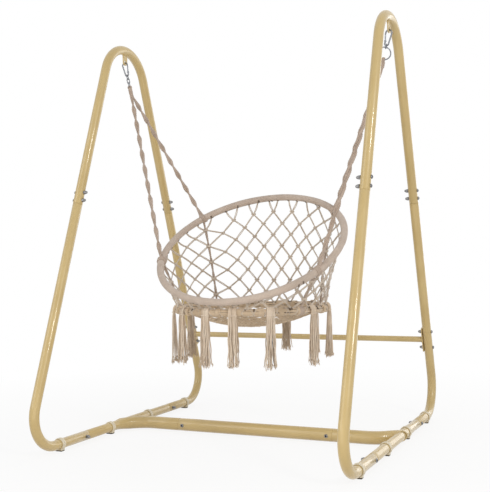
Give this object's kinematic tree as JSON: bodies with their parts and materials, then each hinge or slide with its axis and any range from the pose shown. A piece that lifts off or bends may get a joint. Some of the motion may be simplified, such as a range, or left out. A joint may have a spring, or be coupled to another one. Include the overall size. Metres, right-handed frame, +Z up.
{
  "type": "hammock chair with stand",
  "caption": "Knotted cotton net hammock chair on two wrapped rings, hung by ropes and snap hooks between the bent tube side frames of a free-standing steel stand.",
  "frame": {"origin": "on the floor under the middle of the stand", "axes": "+Z up, the sitter faces -Y, +X from the left side frame to the right one as seen from the front"},
  "size_m": [1.2286, 1.3542, 1.6621],
  "materials": {
    "frame": "glossy tan powder coat",
    "fasteners": "dark zinc",
    "feet": "matte",
    "hardware": "galvanised",
    "cotton": "natural cotton cord"
  },
  "bodies": {
    "stand": {"hoop_left": "frame", "base_corner_left": "frame", "leg_left_front": "frame", "foot_outer_left_front": "feet", "foot_inner_left_front": "feet", "leg_bolt_left_front_upper": "fasteners", "leg_bolt_left_front_lower": "fasteners", "rail_bolt_left_front": "fasteners", "leg_left_rear": "frame", "foot_outer_left_rear": "feet", "foot_inner_left_rear": "feet", "leg_bolt_left_rear_upper": "fasteners", "leg_bolt_left_rear_lower": "fasteners", "rail_bolt_left_rear": "fasteners", "bar_bolt_left": "fasteners", "cross_bolt_left_upper": "fasteners", "cross_bolt_left_lower": "fasteners", "hoop_right": "frame", "base_corner_right": "frame", "leg_right_front": "frame", "foot_outer_right_front": "feet", "foot_inner_right_front": "feet", "leg_bolt_right_front_upper": "fasteners", "leg_bolt_right_front_lower": "fasteners", "rail_bolt_right_front": "fasteners", "leg_right_rear": "frame", "foot_outer_right_rear": "feet", "foot_inner_right_rear": "feet", "leg_bolt_right_rear_upper": "fasteners", "leg_bolt_right_rear_lower": "fasteners", "rail_bolt_right_rear": "fasteners", "bar_bolt_right": "fasteners", "cross_bolt_right_upper": "fasteners", "cross_bolt_right_lower": "fasteners", "base_bar": "frame", "rear_cross_bar": "frame"},
    "chair": {"snap_hook_left": "hardware", "chain_link_1": "hardware", "chain_link_2": "hardware", "chain_link_3": "hardware", "snap_hook_right": "hardware", "short_link_right": "hardware", "steel_ring_right": "hardware", "top_ring": "cotton", "seat_ring": "cotton", "side_net_right_front": "cotton", "side_net_right_rear": "cotton", "back_net_right": "cotton", "back_net_middle": "cotton", "back_net_left": "cotton", "side_net_left": "cotton", "front_net_left": "cotton", "front_net_middle": "cotton", "front_net_right": "cotton", "seat_net": "cotton", "ropes_left": "cotton", "ropes_right": "cotton"},
    "gate_left": {"hook_gate_left": "hardware"},
    "gate_right": {"hook_gate_right": "hardware"}
  },
  "joints": [
    {"name": "chair_swing", "type": "hinge", "parent": "stand", "child": "chair", "pos_m": [0, 0, 1.59206], "axis": [1, 0, 0], "range_deg": [-25, 25]},
    {"name": "hook_gate_left_pin", "type": "hinge", "parent": "chair", "child": "gate_left", "pos_m": [-0.5755, 0, 1.5504], "axis": [0, -1, 0], "range_deg": [0, 25], "stiffness_Nm_per_rad": 0.12, "springref_deg": -28.65},
    {"name": "hook_gate_right_pin", "type": "hinge", "parent": "chair", "child": "gate_right", "pos_m": [0.5755, 0, 1.5504], "axis": [0, 1, 0], "range_deg": [0, 25], "stiffness_Nm_per_rad": 0.12, "springref_deg": -28.65}
  ]
}
